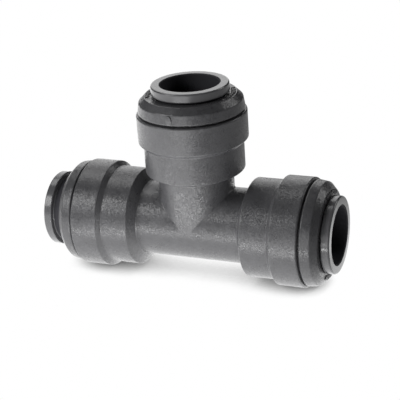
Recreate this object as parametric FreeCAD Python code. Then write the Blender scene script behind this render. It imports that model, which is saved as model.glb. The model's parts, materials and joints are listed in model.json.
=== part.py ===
"""Push-fit equal tee for 15 mm plastic tube, in millimetres.

The three tube axes meet at the origin. The run lies along X, the branch points up +Z.
Every port is designed along +Z, as (radius, height above the tee's centre), and then
turned to its own direction, so one set of sizes serves all three ports.
"""
import FreeCAD, Part
import math
import os

V = FreeCAD.Vector
CENTRE = V(0, 0, 0)
UP = V(0, 0, 1)

# the tube that the fitting takes
tube_d = 15.0
tube_gap = 0.1          # radial play of the tube in its seat and in the collet
seal_squeeze = 0.1      # how far the ring and the teeth reach inside the tube's surface

# moulded tee: lengths along one arm, outwards from the centre
stem_len = 14.4
shoulder_slope = 1.45
shoulder_len = 7.4
collar_slope = 1.05
collar_len = 7.3
edge_round = 0.3

# moulded tee: walls
stem_wall = 2.4
shoulder_wall = 1.95
collar_wall = 2.05

# passages inside it
waterway_r = 5.9
stop_inside_stem = 1.9  # the tube's end rests this far inside the stem's length
seat_len = 4.5
gland_spare = 0.2       # length of the gland beside the ring
chamber_step = 1.25     # the chamber is this much wider than the gland
socket_step = 1.2       # the cap's socket is this much wider than the chamber
socket_inside_collar = 0.7
rim_chamfer = 0.3

# rubber ring and the loose ring that keeps it in its gland
ring_section = 2.5
ring_play = 0.05
spacer_t = 1.2
spacer_play = 0.1

# end cap
joint_gap = 0.4         # visible groove between the collar and the cap
cap_land = 0.8          # width of the step that seats on the collar
cap_inset = 0.45        # the cap is this much smaller in radius than the collar
cap_wall_len = 2.75
cap_draft = 0.4         # the wall narrows by this much in radius towards its front
cap_bevel = 1.6         # the cone between the wall and the flat face: width, then height
cap_rise = 1.55
cap_round = 0.3
cap_seat_play = 0.05
mouth_chamfer = 0.6
cap_hole_len = 4.7
wedge_len = 4.5
wedge_rise = 1.8
wedge_lip = 0.3

# collet
collet_wall = 1.3
neck_play = 0.25        # radial play of the neck in the end cap's hole
flange_lap = 0.45       # the flange covers this much of the cap's face
flange_t = 2.3
flange_round = 0.3
pull_travel = 3.4       # flange's height over the cap when the barbs meet the wedge
wedge_play = 0.4
barb_rise = 1.45
barb_land = 1.2
nose_chamfer = 0.5
mouth_bore_len = 6.4
finger_relief = 0.2
finger_count = 6
slot_w = 1.4
slot_top_gap = 4.6      # solid neck left between the flange and the slots
lead_in = 0.4

# steel teeth, one in each finger
tooth_t = 0.4
tooth_cover = 1.1       # the blade's root is this far inside the barb's surface
tooth_lean = 0.8        # the tip lies this much deeper than the root
tooth_angle = 24.0
tooth_play = 0.02

# where each collet stands at rest: its flange's height over the end cap
rest_gap = {"left": 3.4, "right": 0.25, "branch": 0.5}
# the branch is moulded a little shorter than the two halves of the run
arm_shorter = {"left": 0.0, "right": 0.0, "branch": 0.3}

# radii that follow, from the tube outwards
tube_r = tube_d / 2
grip_r = tube_r - seal_squeeze
seat_r = tube_r + tube_gap
stem_r = seat_r + stem_wall
gland_r = grip_r + ring_section + ring_play
chamber_r = gland_r + chamber_step
shoulder_r = chamber_r + shoulder_wall
socket_r = chamber_r + socket_step
collar_r = socket_r + collar_wall
cap_r = collar_r - cap_inset
cap_front_r = cap_r - cap_draft
neck_r = seat_r + collet_wall
barb_r = neck_r + barb_rise
hole_r = neck_r + neck_play
mouth_r = hole_r + mouth_chamfer
flange_r = mouth_r + flange_lap

# distances from the centre that follow
shoulder_start = stem_len + shoulder_slope
collar_start = shoulder_start + shoulder_len
collar_end = collar_start + collar_slope + collar_len
tube_stop = stem_len - stop_inside_stem
gland_start = tube_stop + seat_len
gland_end = gland_start + ring_section + gland_spare
socket_start = collar_start + collar_slope + socket_inside_collar
cap_back = collar_end + joint_gap
cap_wall_end = cap_back + cap_wall_len
cap_face = cap_wall_end + cap_rise
hole_top = cap_face - mouth_chamfer
wedge_top = hole_top - cap_hole_len
wedge_low = wedge_top - wedge_len
wedge_slope = wedge_rise / wedge_len
# at full pull the barb's cone lies parallel to the wedge, wedge_play away along the axis
barb_stop = wedge_top - (barb_r - hole_r) / wedge_slope - wedge_play
barb_below_flange = cap_face + pull_travel - barb_stop
barb_cone_len = (barb_r - neck_r) / wedge_slope
collet_below_flange = barb_below_flange + barb_land


def outline(points):
    """Closed face in the XZ plane through (r, z, rounding) points, with tangent arcs at rounded corners."""
    corners = [V(r, 0, z) for r, z, _ in points]
    starts, ends, edges = [], [], []
    for i, (_, _, radius) in enumerate(points):
        here, before, after = corners[i], corners[i - 1], corners[(i + 1) % len(points)]
        if not radius:
            starts.append(here)
            ends.append(here)
            continue
        back = (before - here).normalize()
        on = (after - here).normalize()
        half = back.getAngle(on) / 2
        reach = radius / math.tan(half)
        middle = here + (back + on).normalize() * (radius / math.sin(half) - radius)
        starts.append(here + back * reach)
        ends.append(here + on * reach)
        edges.append(Part.Arc(starts[i], middle, ends[i]).toShape())
    for i in range(len(points)):
        edges.append(Part.LineSegment(ends[i - 1], starts[i]).toShape())
    return Part.Face(Part.Wire(Part.__sortEdges__(edges)))


def turned(points):
    """Solid of revolution about Z; a point may leave out its rounding."""
    full = [(p[0], p[1], p[2] if len(p) > 2 else 0) for p in points]
    solid = outline(full).revolve(CENTRE, UP, 360)
    return Part.makeSolid(solid) if solid.ShapeType == "Shell" else solid


def place(shape, port):
    """Turn a shape made along +Z to its port, and draw it in by what that arm is shorter."""
    shape = shape.copy()
    shape.translate(V(0, 0, -arm_shorter[port]))
    if port != "branch":
        shape.rotate(CENTRE, V(0, 1, 0), 90)
    if port == "left":
        shape.rotate(CENTRE, UP, 180)
    return shape


def arm_outside(port):
    """Stem, shoulder and collar of one port; it starts at the tee's centre once it is drawn in."""
    start = arm_shorter[port]
    return turned([
        (0, start), (stem_r, start), (stem_r, stem_len),
        (shoulder_r, shoulder_start, edge_round), (shoulder_r, collar_start),
        (collar_r, collar_start + collar_slope, edge_round),
        (collar_r, collar_end, edge_round), (0, collar_end),
    ])


def arm_passage(port):
    """Everything that is open inside one port, from the tee's centre to the collar's mouth."""
    start = arm_shorter[port]
    return turned([
        (0, start), (waterway_r, start), (waterway_r, tube_stop),
        (seat_r, tube_stop), (seat_r, gland_start),
        (gland_r, gland_start), (gland_r, gland_end),
        (chamber_r, gland_end), (chamber_r, socket_start),
        (socket_r, socket_start), (socket_r, collar_end - rim_chamfer),
        (socket_r + rim_chamfer, collar_end), (0, collar_end),
    ])


def tee_body():
    """The moulded tee: three arms in one piece, hollow all the way through."""
    arms = [place(arm_outside(port), port) for port in rest_gap]
    passages = [place(arm_passage(port), port) for port in rest_gap]
    outside = arms[0].fuse(arms[1:]).removeSplitter()
    inside = passages[0].fuse(passages[1:]).removeSplitter()
    return outside.cut(inside)


def end_cap():
    """Cap whose spigot fills the collar's bore, with the wedge that closes the collet's fingers."""
    spigot_r = socket_r - cap_seat_play
    spigot_low = socket_start + cap_seat_play
    return turned([
        (hole_r, wedge_top), (hole_r, hole_top), (mouth_r, cap_face),
        (cap_front_r - cap_bevel, cap_face, cap_round / 2), (cap_front_r, cap_wall_end, cap_round),
        (cap_r, cap_back, edge_round / 2),
        (socket_r + cap_land, cap_back), (socket_r + cap_land, collar_end),
        (spigot_r, collar_end), (spigot_r, spigot_low),
        (hole_r + wedge_rise + wedge_lip, spigot_low), (hole_r + wedge_rise, wedge_low),
    ])


def finger_angles():
    return [360.0 / finger_count * i for i in range(finger_count)]


def tooth(port, angle, grow=0.0):
    """One inclined steel blade on a finger; grow makes it larger all round, for its pocket."""
    root_z = cap_face + rest_gap[port] - barb_below_flange
    tip = V(grip_r, 0, root_z - tooth_lean)
    root = V(barb_r - tooth_cover, 0, root_z)
    along = (root - tip).normalize()
    across = V(-along.z, 0, along.x) * (tooth_t / 2 + grow)
    tip, root = tip - along * grow, root + along * grow
    corners = [tip - across, root - across, root + across, tip + across]
    blade = Part.Face(Part.makePolygon(corners + corners[:1]))
    sweep = tooth_angle + math.degrees(2 * grow / grip_r)
    blade.rotate(CENTRE, UP, angle - sweep / 2)
    return blade.revolve(CENTRE, UP, sweep)


def grip_teeth(port):
    return Part.makeCompound([tooth(port, angle) for angle in finger_angles()])


def collet(port):
    """Flanged head, neck and barbed fingers, standing at this port's rest height."""
    flange_low = cap_face + rest_gap[port]
    flange_top = flange_low + flange_t
    barb_z = flange_low - barb_below_flange
    low = flange_low - collet_below_flange
    relief_z = flange_top - mouth_bore_len
    body = turned([
        (seat_r, relief_z), (seat_r, flange_top - lead_in), (seat_r + lead_in, flange_top),
        (flange_r, flange_top, flange_round), (flange_r, flange_low, flange_round / 2),
        (neck_r, flange_low), (neck_r, barb_z + barb_cone_len),
        (barb_r, barb_z), (barb_r, low + nose_chamfer), (barb_r - nose_chamfer, low),
        (seat_r + finger_relief, low), (seat_r + finger_relief, relief_z - finger_relief),
    ])
    # each slot runs through the axis, so it divides two opposite pairs of fingers
    slot_top = flange_low - slot_top_gap - slot_w / 2
    slot_low = low - slot_w
    side = barb_r + slot_w
    for angle in finger_angles()[:finger_count // 2]:
        slot = Part.makeBox(2 * side, slot_w, slot_top - slot_low, V(-side, -slot_w / 2, slot_low))
        end = Part.makeCylinder(slot_w / 2, 2 * side, V(-side, 0, slot_top), V(1, 0, 0))
        cutter = slot.fuse(end)
        cutter.rotate(CENTRE, UP, angle + 180.0 / finger_count)
        body = body.cut(cutter)
    for angle in finger_angles():
        body = body.cut(tooth(port, angle, tooth_play))
    return body


def o_ring():
    centre_r = grip_r + ring_section / 2
    centre_z = gland_start + ring_play + ring_section / 2
    return Part.makeTorus(centre_r, ring_section / 2, V(0, 0, centre_z), UP)


def spacer_ring():
    """Flat ring on the step above the gland."""
    low = gland_end + ring_play
    inner, outer, round_over = seat_r + spacer_play, chamber_r - spacer_play, spacer_t / 5
    return turned([
        (inner, low, round_over), (outer, low, round_over),
        (outer, low + spacer_t, round_over), (inner, low + spacer_t, round_over),
    ])


pieces = {"tee_body": tee_body()}
for port in rest_gap:
    pieces[port + "_end_cap"] = place(end_cap(), port)
    pieces[port + "_collet"] = place(collet(port), port)
    pieces[port + "_grip_teeth"] = place(grip_teeth(port), port)
    pieces[port + "_spacer_ring"] = place(spacer_ring(), port)
    pieces[port + "_o_ring"] = place(o_ring(), port)

os.makedirs("parts", exist_ok=True)
for name, shape in pieces.items():
    if not shape.isValid():
        raise ValueError(name + " is not a valid solid")
    shape.exportStep("parts/" + name + ".step")
    print(name, len(shape.Solids), round(shape.Volume, 1))
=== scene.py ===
import json
import math
import bpy
import bmesh
import numpy as np
from mathutils import Matrix, Vector

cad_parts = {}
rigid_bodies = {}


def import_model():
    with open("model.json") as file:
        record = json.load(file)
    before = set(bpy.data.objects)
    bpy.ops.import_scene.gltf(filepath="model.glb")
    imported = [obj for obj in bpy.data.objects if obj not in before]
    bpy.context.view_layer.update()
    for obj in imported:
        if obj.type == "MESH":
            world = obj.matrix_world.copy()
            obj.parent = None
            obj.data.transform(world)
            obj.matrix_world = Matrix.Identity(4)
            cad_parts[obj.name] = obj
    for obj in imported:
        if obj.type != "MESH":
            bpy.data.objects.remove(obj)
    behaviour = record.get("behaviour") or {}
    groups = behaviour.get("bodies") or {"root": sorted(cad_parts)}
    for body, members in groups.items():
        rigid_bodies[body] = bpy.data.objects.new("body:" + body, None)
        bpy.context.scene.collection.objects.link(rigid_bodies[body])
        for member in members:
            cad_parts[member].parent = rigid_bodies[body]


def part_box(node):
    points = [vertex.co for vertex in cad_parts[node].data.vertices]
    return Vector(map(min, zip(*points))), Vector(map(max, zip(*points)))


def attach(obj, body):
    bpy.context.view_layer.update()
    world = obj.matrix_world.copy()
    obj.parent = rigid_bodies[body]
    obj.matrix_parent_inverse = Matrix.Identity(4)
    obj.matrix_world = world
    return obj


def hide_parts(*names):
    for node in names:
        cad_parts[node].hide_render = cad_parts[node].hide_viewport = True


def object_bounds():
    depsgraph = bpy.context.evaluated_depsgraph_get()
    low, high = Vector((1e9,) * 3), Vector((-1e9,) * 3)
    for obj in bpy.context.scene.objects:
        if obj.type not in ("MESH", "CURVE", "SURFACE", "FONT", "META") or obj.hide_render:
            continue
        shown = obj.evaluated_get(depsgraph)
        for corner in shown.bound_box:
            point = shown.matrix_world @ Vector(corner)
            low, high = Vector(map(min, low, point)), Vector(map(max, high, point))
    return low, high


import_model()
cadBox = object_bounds()
mm = 0.001
portNames = ("left", "right", "branch")
# each port: outward direction, and the direction from which turns about it are counted
portAxes = {
    "left": ((-1, 0, 0), (0, 0, 1)),
    "right": ((1, 0, 0), (0, 0, 1)),
    "branch": ((0, 0, 1), (1, 0, 0)),
}
frontOfBody = (0, 1, 0)      # third direction of every port, so that the arms share their seams


def reachOf(node, port):
    # how far a CAD node reaches out along its port, in mm: (inner end, outer end)
    low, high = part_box(node)
    axis = Vector(portAxes[port][0])
    ends = sorted((axis.dot(low) / mm, axis.dot(high) / mm))
    return ends[0], ends[1]


def linearColour(hexColour):
    # sRGB hex to linear RGBA
    srgb = [int(hexColour[i:i + 2], 16) / 255 for i in (1, 3, 5)]
    return [c / 12.92 if c <= 0.04045 else ((c + 0.055) / 1.055) ** 2.4 for c in srgb] + [1.0]


def addNode(tree, kind, settings=None, inputs=None):
    node = tree.nodes.new(kind)
    for key, value in (settings or {}).items():
        setattr(node, key, value)
    for key, value in (inputs or {}).items():
        if isinstance(value, bpy.types.NodeSocket):
            tree.links.new(value, node.inputs[key])
        else:
            node.inputs[key].default_value = value
    return node


# Profiles and grids

def roundedProfile(corners, arcStep=15.0, support=0.12, longest=0.9, isClosed=True):
    # An outline from (r, z, rounding) corners: each corner becomes a tangent arc, and each straight
    # stretch gets a point close to either end, so that smooth shading stays flat on it.
    pts = np.array([[c[0], c[1]] for c in corners], float)
    radii = [c[2] if len(c) > 2 else 0.0 for c in corners]
    outline = []
    for i, here in enumerate(pts):
        back = pts[i - 1] - here
        ahead = pts[(i + 1) % len(pts)] - here
        back /= np.linalg.norm(back)
        ahead /= np.linalg.norm(ahead)
        half = math.acos(np.clip(back @ ahead, -1, 1)) / 2
        if radii[i] <= 0:
            outline.append([here])
            continue
        centre = here + (back + ahead) / np.linalg.norm(back + ahead) * radii[i] / math.sin(half)
        first = here + back * radii[i] / math.tan(half) - centre
        last = here + ahead * radii[i] / math.tan(half) - centre
        turn = math.atan2(first[0] * last[1] - first[1] * last[0], first @ last)
        count = max(2, int(abs(math.degrees(turn)) / arcStep) + 1)
        angles = np.linspace(0, turn, count + 1)
        cos, sin = np.cos(angles), np.sin(angles)
        arc = np.stack([first[0] * cos - first[1] * sin, first[0] * sin + first[1] * cos], 1)
        outline.append(list(centre + arc))
    filled = []
    for i, arc in enumerate(outline):
        filled += arc
        if i == len(outline) - 1 and not isClosed:
            break
        start, end = arc[-1], outline[(i + 1) % len(outline)][0]
        length = np.linalg.norm(end - start)
        if length > 3 * support:
            inner = np.linspace(support, length - support, max(2, int(length / longest) + 1))
            filled += [start + (end - start) * t / length for t in inner]
    return np.array(filled)


def aroundPort(port, radius, along, angle):
    # place of (radius, distance along the port, angle about it): axis * along + turned radius
    axis, zero = (np.array(v, float) for v in portAxes[port])
    side = np.array(frontOfBody, float)
    return (along[..., None] * axis
            + (radius * np.cos(angle))[..., None] * zero
            + (radius * np.sin(angle))[..., None] * side)


def gridFaces(rows, columns, closeRows, flip):
    # quads of a grid whose columns close on themselves, and whose rows may
    i = np.arange(rows if closeRows else rows - 1)[:, None]
    j = np.arange(columns)[None, :]
    nextRow, nextColumn = (i + 1) % rows, (j + 1) % columns
    quads = np.stack([i * columns + j, nextRow * columns + j,
                      nextRow * columns + nextColumn, i * columns + nextColumn], -1)
    quads = quads.reshape(-1, 4)
    return quads[:, ::-1] if flip else quads


def isFlipped(port):
    axis, zero = (Vector(v) for v in portAxes[port])
    return zero.cross(Vector(frontOfBody)).dot(axis) < 0


def meshPiece(name, vertices, quads, material, body, weld=0.0):
    # mesh data is in metres, in the shared frame, with the object at the origin
    mesh = bpy.data.meshes.new(name)
    vertices = np.asarray(vertices, np.float32).reshape(-1, 3) * mm
    mesh.vertices.add(len(vertices))
    mesh.vertices.foreach_set("co", vertices.ravel())
    mesh.loops.add(quads.size)
    mesh.loops.foreach_set("vertex_index", quads.ravel().astype(np.int32))
    mesh.polygons.add(len(quads))
    mesh.polygons.foreach_set("loop_start", np.arange(0, quads.size, 4, dtype=np.int32))
    mesh.update(calc_edges=True)
    if weld:
        shell = bmesh.new()
        shell.from_mesh(mesh)
        bmesh.ops.remove_doubles(shell, verts=shell.verts, dist=weld)
        shell.to_mesh(mesh)
        shell.free()
    mesh.validate()
    mesh.polygons.foreach_set("use_smooth", np.ones(len(mesh.polygons), bool))
    mesh.materials.append(material)
    piece = bpy.data.objects.new(name, mesh)
    bpy.context.scene.collection.objects.link(piece)
    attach(piece, body)
    return piece


# Materials

def newMaterial(name):
    material = bpy.data.materials.new(name)
    material.use_nodes = True
    tree = material.node_tree
    place = addNode(tree, "ShaderNodeTexCoord").outputs["Object"]
    return material, tree, tree.nodes["Principled BSDF"], place


def sparkErodedAcetal():
    # Dark grey acetal from a spark-eroded mould: matt, with a pitted grain whose small facets lean
    # every way, so that a highlight breaks into separate sparks. The real pits are about 0.1 mm
    # across; they are drawn at 0.24 mm so that they show. Sizes are in mm.
    look = {"colour": "#4b4b4d", "roughness": 0.31, "grain": 0.24, "lean": 0.095, "patch": 2.6,
            "height": 0.006}
    material, tree, shader, place = newMaterial("spark-eroded acetal")
    pits = addNode(tree, "ShaderNodeTexVoronoi", {}, {"Vector": place, "Scale": 1 / (look["grain"] * mm)})
    # lean of each facet: its random cell colour, moved to -1..1 and scaled
    random = addNode(tree, "ShaderNodeVectorMath", {"operation": "SUBTRACT"},
                     {0: pits.outputs["Color"], 1: (0.5, 0.5, 0.5)}).outputs[0]
    lean = addNode(tree, "ShaderNodeVectorMath", {"operation": "SCALE"},
                   {0: random, "Scale": 2 * look["lean"]}).outputs[0]
    relief = addNode(tree, "ShaderNodeTexNoise", {},
                     {"Vector": place, "Scale": 0.8 / (look["grain"] * mm), "Detail": 1.0})
    bump = addNode(tree, "ShaderNodeBump", {},
                   {"Height": relief.outputs["Fac"], "Distance": look["height"] * mm, "Strength": 1.0})
    tilted = addNode(tree, "ShaderNodeVectorMath", {"operation": "ADD"},
                     {0: bump.outputs["Normal"], 1: lean}).outputs[0]
    facet = addNode(tree, "ShaderNodeVectorMath", {"operation": "NORMALIZE"}, {0: tilted}).outputs[0]
    patches = addNode(tree, "ShaderNodeTexNoise", {},
                      {"Vector": place, "Scale": 1 / (look["patch"] * mm), "Detail": 3.0})
    tint = addNode(tree, "ShaderNodeMapRange", {},
                   {"Value": patches.outputs["Fac"], "From Min": 0.3, "From Max": 0.7,
                    "To Min": 0.9, "To Max": 1.1})
    colour = addNode(tree, "ShaderNodeMix", {"data_type": "RGBA", "blend_type": "MULTIPLY"},
                     {0: 1.0, 6: linearColour(look["colour"]), 7: tint.outputs["Result"]})
    dull = addNode(tree, "ShaderNodeMapRange", {},
                   {"Value": patches.outputs["Fac"], "From Min": 0.35, "From Max": 0.65,
                    "To Min": look["roughness"] - 0.04, "To Max": look["roughness"] + 0.04})
    tree.links.new(colour.outputs[2], shader.inputs["Base Color"])
    tree.links.new(dull.outputs["Result"], shader.inputs["Roughness"])
    tree.links.new(facet, shader.inputs["Normal"])
    return material


def mouldedAcetal(name, look):
    # Acetal from a polished mould: a colour, a gloss that varies slowly, and a faint flow ripple
    material, tree, shader, place = newMaterial(name)
    ripple = addNode(tree, "ShaderNodeTexNoise", {},
                     {"Vector": place, "Scale": 1 / (look["ripple"] * mm), "Detail": 4.0})
    dull = addNode(tree, "ShaderNodeMapRange", {},
                   {"Value": ripple.outputs["Fac"], "To Min": look["roughness"] - 0.07,
                    "To Max": look["roughness"] + 0.07})
    bump = addNode(tree, "ShaderNodeBump", {},
                   {"Height": ripple.outputs["Fac"], "Distance": look["height"] * mm})
    shader.inputs["Base Color"].default_value = linearColour(look["colour"])
    shader.inputs["Specular IOR Level"].default_value = look["gloss"]
    tree.links.new(dull.outputs["Result"], shader.inputs["Roughness"])
    tree.links.new(bump.outputs["Normal"], shader.inputs["Normal"])
    return material


def mouldedRubber():
    # Black sealing rubber: dull, with a fine bloom that greys it in patches, and a soft skin
    material, tree, shader, place = newMaterial("moulded nitrile rubber")
    bloom = addNode(tree, "ShaderNodeTexNoise", {}, {"Vector": place, "Scale": 1 / (1.4 * mm), "Detail": 5.0})
    colour = addNode(tree, "ShaderNodeMix", {"data_type": "RGBA"},
                     {0: bloom.outputs["Fac"], 6: linearColour("#121212"), 7: linearColour("#2b2b2a")})
    dull = addNode(tree, "ShaderNodeMapRange", {},
                   {"Value": bloom.outputs["Fac"], "To Min": 0.42, "To Max": 0.68})
    skin = addNode(tree, "ShaderNodeTexNoise", {}, {"Vector": place, "Scale": 1 / (0.25 * mm), "Detail": 2.0})
    bump = addNode(tree, "ShaderNodeBump", {}, {"Height": skin.outputs["Fac"], "Distance": 0.02 * mm})
    tree.links.new(colour.outputs[2], shader.inputs["Base Color"])
    tree.links.new(dull.outputs["Result"], shader.inputs["Roughness"])
    tree.links.new(bump.outputs["Normal"], shader.inputs["Normal"])
    return material


def naturalNylon():
    # Undyed nylon: milky, a little light enters it, clouded by the way it set, with a satin skin
    material, tree, shader, place = newMaterial("natural nylon")
    cloud = addNode(tree, "ShaderNodeTexNoise", {}, {"Vector": place, "Scale": 1 / (2.2 * mm), "Detail": 3.0})
    colour = addNode(tree, "ShaderNodeMix", {"data_type": "RGBA"},
                     {0: cloud.outputs["Fac"], 6: linearColour("#cbc6b4"), 7: linearColour("#e4e1d6")})
    dull = addNode(tree, "ShaderNodeMapRange", {},
                   {"Value": cloud.outputs["Fac"], "To Min": 0.32, "To Max": 0.5})
    skin = addNode(tree, "ShaderNodeTexNoise", {}, {"Vector": place, "Scale": 1 / (0.5 * mm), "Detail": 2.0})
    bump = addNode(tree, "ShaderNodeBump", {}, {"Height": skin.outputs["Fac"], "Distance": 0.01 * mm})
    shader.inputs["Subsurface Weight"].default_value = 0.25
    shader.inputs["Subsurface Radius"].default_value = (1, 0.9, 0.7)
    shader.inputs["Subsurface Scale"].default_value = 0.6 * mm
    tree.links.new(colour.outputs[2], shader.inputs["Base Color"])
    tree.links.new(dull.outputs["Result"], shader.inputs["Roughness"])
    tree.links.new(bump.outputs["Normal"], shader.inputs["Normal"])
    return material


def rolledStainless(port):
    # Sheared stainless strip: bright, with rolling lines drawn out along the port, and uneven gloss
    material, tree, shader, place = newMaterial("rolled stainless steel " + port)
    stretch = [0.08 if a else 1.0 for a in portAxes[port][0]]
    drawn = addNode(tree, "ShaderNodeMapping", {}, {"Vector": place, "Scale": stretch}).outputs[0]
    lines = addNode(tree, "ShaderNodeTexNoise", {},
                    {"Vector": drawn, "Scale": 1 / (0.12 * mm), "Detail": 3.0})
    colour = addNode(tree, "ShaderNodeMix", {"data_type": "RGBA"},
                     {0: lines.outputs["Fac"], 6: linearColour("#a9a9ab"), 7: linearColour("#d2d2d4")})
    dull = addNode(tree, "ShaderNodeMapRange", {},
                   {"Value": lines.outputs["Fac"], "To Min": 0.2, "To Max": 0.42})
    bump = addNode(tree, "ShaderNodeBump", {}, {"Height": lines.outputs["Fac"], "Distance": 0.006 * mm})
    shader.inputs["Metallic"].default_value = 1.0
    tree.links.new(colour.outputs[2], shader.inputs["Base Color"])
    tree.links.new(dull.outputs["Result"], shader.inputs["Roughness"])
    tree.links.new(bump.outputs["Normal"], shader.inputs["Normal"])
    return material


colletAcetal = mouldedAcetal("smooth moulded acetal", {
    "colour": "#5a5a5c", "roughness": 0.19, "ripple": 1.1, "height": 0.012, "gloss": 0.5})
# the bore comes off a matt core pin, so it is rough; its darker colour is painted shade in the bore and under
# the collet's flange
shadedBoreAcetal = mouldedAcetal("matt core-pin acetal", {
    "colour": "#3a3a3e", "roughness": 0.78, "ripple": 0.6, "height": 0.03, "gloss": 0.2})
teeAcetal = sparkErodedAcetal()


def coatInsides():
    # the pieces inside the ports keep their own shapes and take real materials
    rubber, nylon = mouldedRubber(), naturalNylon()
    for port in portNames:
        coats = {"_o_ring": rubber, "_spacer_ring": nylon, "_grip_teeth": rolledStainless(port)}
        for ending, material in coats.items():
            for holder in bpy.data.objects:
                if holder.type == "MESH" and holder.name.startswith(port + ending):
                    for holderSlot in holder.material_slots:
                        holderSlot.link = "OBJECT"
                        holderSlot.material = material


coatInsides()
print("materials made")

# The moulded tee

teeBody = {
    "stemR": 10.0, "stemLen": 14.4, "shoulderSlope": 1.45, "shoulderR": 13.15, "shoulderLen": 7.4,
    "collarSlope": 1.05, "collarR": 14.45, "edge": 0.3, "waterwayR": 5.9, "seatR": 7.6,
    "stopInside": 1.9, "seatLen": 4.5, "glandR": 9.95, "glandLen": 2.7, "chamberR": 11.2,
    "socketInside": 0.7, "socketR": 12.4, "creaseBlend": 0.5, "sides": 192, "stemRows": 22,
}


def armProfile(size, shorter, collarEnd):
    # outline of one arm beyond its stem, from the shoulder round the mouth and back to the stop
    stem = size["stemLen"] - shorter
    shoulder = stem + size["shoulderSlope"]
    collar = shoulder + size["shoulderLen"]
    stop = stem - size["stopInside"]
    seatEnd = stop + size["seatLen"]
    edge = size["edge"]
    corners = [
        (size["stemR"], stem - edge), (size["stemR"], stem, edge), (size["shoulderR"], shoulder, edge),
        (size["shoulderR"], collar, edge), (size["collarR"], collar + size["collarSlope"], edge),
        (size["collarR"], collarEnd, edge * 1.4), (size["socketR"], collarEnd, edge),
        (size["socketR"], collar + size["collarSlope"] + size["socketInside"]),
        (size["chamberR"], collar + size["collarSlope"] + size["socketInside"]),
        (size["chamberR"], seatEnd + size["glandLen"]), (size["glandR"], seatEnd + size["glandLen"]),
        (size["glandR"], seatEnd), (size["seatR"], seatEnd), (size["seatR"], stop),
        (size["waterwayR"], stop),
    ]
    return roundedProfile(corners, isClosed=False)


def creaseSurface(points, size):
    # Moves points on to the blended union of the run and the branch cylinder. The blend is a
    # smooth minimum of the two distances, weaker where the cylinders lie side by side.
    def distance(p):
        run = np.hypot(p[:, 1], p[:, 2])
        branch = np.hypot(p[:, 0], p[:, 1])
        a = run - size["stemR"]
        b = np.where(p[:, 2] > 0, branch - size["stemR"], 1e3)
        likeness = p[:, 1] ** 2 / np.maximum(run * branch, 1e-6)
        k = size["creaseBlend"] * np.clip(1 - likeness, 1e-3, 1) ** 1.5
        h = np.clip(0.5 + 0.5 * (b - a) / k, 0, 1)
        return b * (1 - h) + a * h - k * h * (1 - h)
    tiny = 1e-4
    for _ in range(6):
        f = distance(points)
        slope = np.stack([distance(points + tiny * e) - f for e in np.eye(3)], 1) / tiny
        points = points - f[:, None] * slope / np.maximum((slope ** 2).sum(1), 0.2)[:, None]
    return points


def buildTeeBody(size):
    angle = np.linspace(0, 2 * math.pi, size["sides"], endpoint=False)
    rows = np.linspace(0, 1, size["stemRows"], endpoint=False)[:, None] ** 1.35
    vertices, quads, count = [], [], 0
    for port in portNames:
        shorter = reachOf("right_end_cap", "right")[1] - reachOf(port + "_end_cap", port)[1]
        if port != "branch":
            shorter = 0.0
        collarEnd = reachOf("tee_body", port)[1]
        profile = armProfile(size, shorter, collarEnd)
        # the arm starts at the crease: along a V over the branch side, and at the middle below it
        share = np.abs(np.cos(angle)) if port == "branch" else np.maximum(np.cos(angle), 0)
        outerStart, innerStart = share * size["stemR"], share * size["waterwayR"]
        outer = outerStart + (profile[0, 1] - outerStart) * rows
        inner = innerStart + (profile[-1, 1] - innerStart) * rows[::-1]
        middle = np.repeat(profile[:, 1:2], size["sides"], 1)
        radius = np.concatenate([np.full(len(rows), size["stemR"]), profile[:, 0],
                                 np.full(len(rows), size["waterwayR"])])[:, None]
        along = np.concatenate([outer, middle, inner])
        points = aroundPort(port, radius + 0 * along, along, angle[None, :] + 0 * along)
        stem = points[:len(rows)].reshape(-1, 3)
        points[:len(rows)] = creaseSurface(stem, size).reshape(len(rows), -1, 3)
        quads.append(gridFaces(len(along), size["sides"], False, not isFlipped(port)) + count)
        vertices.append(points.reshape(-1, 3))
        count += along.size
    piece = meshPiece("teeBody", np.concatenate(vertices), np.concatenate(quads), teeAcetal,
                      "tee", weld=0.002 * mm)
    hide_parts("tee_body")
    return piece


body = buildTeeBody(teeBody)
print("tee body made:", len(body.data.polygons), "faces")

# End caps

endCap = {
    "spigotR": 12.35, "landR": 13.2, "capR": 14.0, "draft": 0.4, "bevel": 1.6, "joint": 0.4,
    "wall": 2.75, "crease": 0.65, "crest": 0.28, "mouthR": 9.75, "mouthChamfer": 0.6, "holeLen": 4.7,
    "wedgeLen": 4.5, "wedgeRise": 1.8, "lip": 0.3, "edge": 0.38, "sides": 240,
}
# two rows of plain raised bars on the cap's flat face: rows and pitch in degrees about the port
capBars = {"rows": ((-20, 32), (172, 212)), "pitch": 3.7, "middleR": 11.15,
           "halfLength": (0.62, 0.42, 0.55), "halfWidth": 0.24, "height": 0.28,
           "squareness": 0.45}
# the trace of the gate on the cap's wall: where it stands, and its half sizes
gateTrace = {"angle": 268, "up": 1.35, "halfWidth": 0.8, "halfHeight": 1.15, "proud": 0.04,
             "squareness": 0.75}


def roundedBlock(half, squareness, sides=16, rows=9):
    # superellipsoid: x = a cos^e(v) cos^e(u), y = b cos^e(v) sin^e(u), z = c sin^e(v), keeping signs
    u = np.linspace(0, 2 * math.pi, sides, endpoint=False)[None, :]
    v = np.linspace(-math.pi / 2, math.pi / 2, rows)[:, None]
    def power(wave):
        return np.sign(wave) * np.abs(wave) ** squareness
    ring = power(np.cos(v).round(9))
    block = np.stack([half[0] * ring * power(np.cos(u)), half[1] * ring * power(np.sin(u)),
                      half[2] * power(np.sin(v)) + 0 * u], -1)
    return block, gridFaces(rows, sides, False, False)


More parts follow.
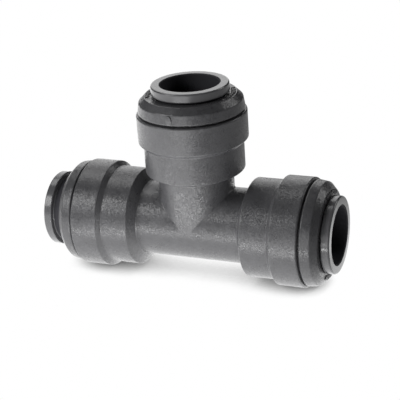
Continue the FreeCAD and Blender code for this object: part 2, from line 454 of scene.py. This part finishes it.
def capMarks(port, face, back, bars, trace, wallR):
    # blocks are given as half sizes across, outwards from the axis, and along the port, at an angle
    # about it; shorter bars stand now nearer to the crest, now nearer to the mouth
    blocks, angles, places = [], [], []
    longest = max(bars["halfLength"])
    for start, end in bars["rows"]:
        for i, degrees in enumerate(np.arange(start, end, bars["pitch"])):
            length = bars["halfLength"][i % len(bars["halfLength"])]
            blocks.append((bars["halfWidth"], length, bars["height"], bars["squareness"]))
            angles.append(math.radians(degrees))
            places.append((bars["middleR"] + (longest - length) * (-1) ** i, face))
    if port == "branch":
        blocks.append((trace["halfWidth"], trace["proud"] * 4, trace["halfHeight"], trace["squareness"]))
        angles.append(math.radians(trace["angle"]))
        places.append((wallR - 3 * trace["proud"], back + trace["up"]))
    vertices, quads, count = [], [], 0
    for half, angle, (middle, along) in zip(blocks, angles, places):
        block, faces = roundedBlock(half[:3], half[3])
        radius = np.hypot(middle + block[..., 1], block[..., 0])
        turn = angle + np.arctan2(block[..., 0], middle + block[..., 1])
        vertices.append(aroundPort(port, radius, along + block[..., 2], turn).reshape(-1, 3))
        quads.append((faces if isFlipped(port) else faces[:, ::-1]) + count)
        count += radius.size
    return np.concatenate(vertices), np.concatenate(quads)


def buildEndCap(port, size):
    inner, outer = reachOf(port + "_end_cap", port)
    collarEnd = reachOf("tee_body", port)[1]
    back = collarEnd + size["joint"]
    frontR = size["capR"] - size["draft"]
    hole = size["mouthR"] - size["mouthChamfer"]
    holeTop = outer - size["mouthChamfer"]
    wedgeTop = holeTop - size["holeLen"]
    corners = [
        (hole, wedgeTop), (hole, holeTop, 0.1), (size["mouthR"], outer, 0.15),
        (frontR - size["bevel"], outer, size["crest"]), (frontR, back + size["wall"], size["crease"]),
        (size["capR"], back, size["edge"]), (size["landR"], back), (size["landR"], collarEnd + 0.01),
        (size["spigotR"], collarEnd + 0.01), (size["spigotR"], inner),
        (hole + size["wedgeRise"] + size["lip"], inner),
        (hole + size["wedgeRise"], wedgeTop - size["wedgeLen"]),
    ]
    profile = roundedProfile(corners)
    angle = np.linspace(0, 2 * math.pi, size["sides"], endpoint=False)[None, :]
    radius = profile[:, 0:1] + 0 * angle
    along = profile[:, 1:2] + 0 * angle
    points = aroundPort(port, radius, along, angle + 0 * radius).reshape(-1, 3)
    quads = gridFaces(len(profile), size["sides"], True, isFlipped(port))
    marks, markQuads = capMarks(port, outer, back, capBars, gateTrace, size["capR"])
    piece = meshPiece(port + "EndCap", np.concatenate([points, marks]),
                      np.concatenate([quads, markQuads + len(points)]), teeAcetal, "tee",
                      weld=0.002 * mm)
    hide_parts(port + "_end_cap")
    return piece


for port in portNames:
    buildEndCap(port, endCap)
print("end caps made")

# Collets

collet = {
    "boreR": 7.6, "leadIn": 0.4, "flangeR": 10.2, "flange": 2.3, "flangeRound": 0.45, "neckR": 8.9,
    "barbR": 10.35, "barbRise": 1.45, "wedgeSlope": 0.4, "barbLand": 1.2, "nose": 0.5,
    "mouthBore": 6.4, "relief": 0.2, "fingers": 6, "slot": 1.4, "slotBelow": 4.6, "sides": 192,
}


def buildCollet(port, size):
    low, top = reachOf(port + "_collet", port)
    flangeLow = top - size["flange"]
    slotTop = flangeLow - size["slotBelow"]
    barb = low + size["barbLand"]
    reliefTop = top - size["mouthBore"]
    fingerR = size["boreR"] + size["relief"]
    head = roundedProfile([
        (size["boreR"], reliefTop, 0), (size["boreR"], top, size["leadIn"]),
        (size["flangeR"], top, size["flangeRound"]), (size["flangeR"], flangeLow, size["flangeRound"] / 2),
        (size["neckR"], flangeLow, 0.15), (size["neckR"], slotTop), (fingerR, slotTop),
        (fingerR, reliefTop - size["relief"]),
    ])
    angle = np.linspace(0, 2 * math.pi, size["sides"], endpoint=False)[None, :]
    radius = head[:, 0:1] + 0 * angle
    along = head[:, 1:2] + 0 * angle
    points = aroundPort(port, radius, along, angle + 0 * radius).reshape(-1, 3)
    quads = gridFaces(len(head), size["sides"], True, isFlipped(port))
    vertices, faces, count = [points], [quads], len(points)
    finger = roundedProfile([
        (fingerR, slotTop + 0.05), (size["neckR"] - 0.01, slotTop + 0.05),
        (size["neckR"] - 0.01, barb + size["barbRise"] / size["wedgeSlope"]),
        (size["barbR"], barb, 0.1), (size["barbR"], low + size["nose"], 0.1),
        (size["barbR"] - size["nose"], low, 0.1), (fingerR, low, 0.1),
    ])
    halfGap = math.asin(size["slot"] / 2 / size["neckR"])
    spread = 2 * math.pi / size["fingers"]
    span = np.linspace(-spread / 2 + halfGap, spread / 2 - halfGap, 16)
    for i in range(size["fingers"]):
        turn = span + i * spread
        grid = aroundPort(port, finger[:, 0:1] + 0 * turn, finger[:, 1:2] + 0 * turn,
                          turn[None, :] + 0 * finger[:, 0:1])
        rows, columns = grid.shape[:2]
        strip = gridFaces(rows, columns, True, isFlipped(port)).reshape(rows, columns, 4)[:, :-1]
        vertices.append(grid.reshape(-1, 3))
        faces.append(strip.reshape(-1, 4) + count)
        count += rows * columns
    piece = meshPiece(port + "Collet", np.concatenate(vertices), np.concatenate(faces), colletAcetal,
                      port + "_collet")
    shell = bmesh.new()
    shell.from_mesh(piece.data)
    bmesh.ops.holes_fill(shell, edges=[e for e in shell.edges if e.is_boundary], sides=0)
    shell.to_mesh(piece.data)
    shell.free()
    # the bore, the fingers' inner side and the neck under the flange take the matt material, whose darker
    # colour is painted shade there
    piece.data.materials.append(shadedBoreAcetal)
    axis = Vector(portAxes[port][0])
    shadedBoreR = size["boreR"] + size["leadIn"] * 0.9
    shadedNeckR, shadedNeckTop = size["neckR"] + 0.1, flangeLow - 0.4
    for face in piece.data.polygons:
        height = axis.dot(face.center)
        radius = (face.center - axis * height).length
        isBore = radius < shadedBoreR * mm
        isNeck = radius < shadedNeckR * mm and height < shadedNeckTop * mm
        face.material_index = int(isBore or isNeck)
    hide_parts(port + "_collet")
    return piece


for port in portNames:
    buildCollet(port, collet)
print("collets made")

# Stage, light and camera

# a white sheet that glows: painted light from below, standing in for a brightly lit table; its glow and the
# cards together give the tee a plain level. Two parts are painted shade, where the tee's shadow falls:
# direction from the tee, cosines and distances of their edges
stage = {
    "floorSize": 3.0, "glow": 1.8, "paintedShadeGlow": 0.45, "shadeReach": 0.10, "cameraGlow": 2.8,
    "paintedShadeParts": (((0.906, -0.423, 0), (0.62, 0.82), (0.036, 0.056)),
                  ((0.574, 0.819, 0), (0.55, 0.75), (0.048, 0.085))),
}


def buildFloor(setting):
    half = setting["floorSize"] / 2
    z = cadBox[0][2]
    mesh = bpy.data.meshes.new("floor")
    corners = [(-half, -half, z), (half, -half, z), (half, half, z), (-half, half, z)]
    mesh.from_pydata(corners, [], [(0, 1, 2, 3)])
    floor = bpy.data.objects.new("floor", mesh)
    bpy.context.scene.collection.objects.link(floor)
    material = bpy.data.materials.new("backlit white sheet")
    material.use_nodes = True
    tree = material.node_tree
    tree.nodes.clear()
    place = addNode(tree, "ShaderNodeTexCoord").outputs["Object"]
    flat = addNode(tree, "ShaderNodeVectorMath", {"operation": "MULTIPLY"},
                   {0: place, 1: (1, 1, 0)}).outputs[0]
    reach = addNode(tree, "ShaderNodeVectorMath", {"operation": "LENGTH"}, {0: flat}).outputs["Value"]
    heading = addNode(tree, "ShaderNodeVectorMath", {"operation": "NORMALIZE"}, {0: flat}).outputs[0]
    # the darker parts of the sheet's glow are painted shade, standing in for the tee's shadow on the sheet
    paintedShade = 0.0
    for direction, edges, distances in setting["paintedShadeParts"]:
        facing = addNode(tree, "ShaderNodeVectorMath", {"operation": "DOT_PRODUCT"},
                         {0: heading, 1: direction}).outputs["Value"]
        sector = addNode(tree, "ShaderNodeMapRange", {"interpolation_type": "SMOOTHSTEP"},
                         {"Value": facing, "From Min": edges[0], "From Max": edges[1]}).outputs["Result"]
        away = addNode(tree, "ShaderNodeMapRange", {"interpolation_type": "SMOOTHSTEP"},
                       {"Value": reach, "From Min": distances[0], "From Max": distances[1]}).outputs["Result"]
        part = addNode(tree, "ShaderNodeMath", {"operation": "MULTIPLY"}, {0: sector, 1: away}).outputs[0]
        paintedShade = addNode(tree, "ShaderNodeMath", {"operation": "MAXIMUM"}, {0: paintedShade, 1: part}).outputs[0]
    glow = addNode(tree, "ShaderNodeMapRange", {},
                   {"Value": paintedShade, "To Min": setting["glow"],
                    "To Max": setting["paintedShadeGlow"]}).outputs["Result"]
    # what the camera sees of the sheet: shaded where the tee stands close over it, else plain white
    opening = addNode(tree, "ShaderNodeAmbientOcclusion", {"samples": 16},
                      {"Distance": setting["shadeReach"]})
    shaded = addNode(tree, "ShaderNodeMath", {"operation": "MULTIPLY", "use_clamp": True},
                     {0: opening.outputs["AO"], 1: setting["cameraGlow"]}).outputs[0]
    seen = addNode(tree, "ShaderNodeLightPath").outputs["Is Camera Ray"]
    strength = addNode(tree, "ShaderNodeMix", {"data_type": "FLOAT"},
                       {0: seen, 2: glow, 3: shaded}).outputs[0]
    light = addNode(tree, "ShaderNodeEmission", {}, {"Color": (1, 1, 1, 1), "Strength": strength})
    out = addNode(tree, "ShaderNodeOutputMaterial")
    tree.links.new(light.outputs["Emission"], out.inputs["Surface"])
    mesh.materials.append(material)


# cards round the tee: azimuth from the front towards the right, elevation, distance, side, power
lamps = {
    "backdrop": {"azimuth": 206, "elevation": 24, "distance": 0.7, "size": 0.50, "power": 1.30},
    "leftHigh": {"azimuth": 240, "elevation": 60, "distance": 0.7, "size": 0.30, "power": 0.85},
    "rightBack": {"azimuth": 135, "elevation": 32, "distance": 0.7, "size": 0.30, "power": 0.85},
    "leftFront": {"azimuth": 315, "elevation": 32, "distance": 0.7, "size": 0.30, "power": 1.80},
    "frontLow": {"azimuth": 0, "elevation": 8, "distance": 0.7, "size": 0.30, "power": 0.60},
}


# light strips lying on the sheet in front of the tee, facing up: middle, length, width, power
strips = {
    "nearStrip": {"place": (-0.005, -0.046, -0.0140), "length": 0.086, "width": 0.006, "power": 0.030},
    "farStrip": {"place": (-0.012, -0.134, -0.0140), "length": 0.100, "width": 0.010, "power": 0.058},
}


def towards(azimuth, elevation):
    azimuth, elevation = math.radians(azimuth), math.radians(elevation)
    return Vector((math.sin(azimuth) * math.cos(elevation), -math.cos(azimuth) * math.cos(elevation),
                   math.sin(elevation)))


def buildLights():
    for name, lamp in lamps.items():
        light = bpy.data.lights.new(name, "AREA")
        light.shape = "SQUARE"
        light.size = lamp["size"]
        light.energy = lamp["power"]
        direction = towards(lamp["azimuth"], lamp["elevation"])
        holder = bpy.data.objects.new(name, light)
        holder.location = direction * lamp["distance"]
        holder.rotation_euler = direction.to_track_quat("Z", "Y").to_euler()
        bpy.context.scene.collection.objects.link(holder)
    for name, strip in strips.items():
        light = bpy.data.lights.new(name, "AREA")
        light.shape = "RECTANGLE"
        light.size, light.size_y = strip["length"], strip["width"]
        light.energy = strip["power"]
        holder = bpy.data.objects.new(name, light)
        holder.location = strip["place"]
        holder.rotation_euler = (math.pi, 0, 0)
        holder.visible_camera = False
        bpy.context.scene.collection.objects.link(holder)
    world = bpy.data.worlds.new("studio")
    world.use_nodes = True
    tree = world.node_tree
    background = tree.nodes["Background"]
    seen = addNode(tree, "ShaderNodeLightPath").outputs["Is Camera Ray"]
    strength = addNode(tree, "ShaderNodeMapRange", {}, {"Value": seen, "To Min": 0.0, "To Max": 1.0})
    background.inputs["Color"].default_value = (1, 1, 1, 1)
    tree.links.new(strength.outputs["Result"], background.inputs["Strength"])
    bpy.context.scene.world = world


# distance and the two offsets are in mm
view = {"azimuth": 23.47, "elevation": 22.89, "roll": -4.129, "distance": 319.39,
        "across": 0.09, "up": 5.60, "lens": 107.08}


def buildCamera(setting):
    roll = math.radians(setting["roll"])
    back = towards(setting["azimuth"], setting["elevation"])
    right = (-back).cross(Vector((0, 0, 1))).normalized()
    up = right.cross(-back)
    turnedRight = right * math.cos(roll) + up * math.sin(roll)
    turnedUp = up * math.cos(roll) - right * math.sin(roll)
    place = (back * setting["distance"] + turnedRight * setting["across"] + turnedUp * setting["up"]) * mm
    camera = bpy.data.objects.new("camera", bpy.data.cameras.new("camera"))
    turn = Matrix((turnedRight, turnedUp, back)).transposed().to_4x4()
    camera.matrix_world = Matrix.Translation(place) @ turn
    camera.data.lens = setting["lens"]
    camera.data.clip_start = 0.01
    bpy.context.scene.collection.objects.link(camera)
    bpy.context.scene.camera = camera


buildFloor(stage)
buildLights()
buildCamera(view)
bpy.context.scene.view_settings.view_transform = "Standard"
print("stage made")
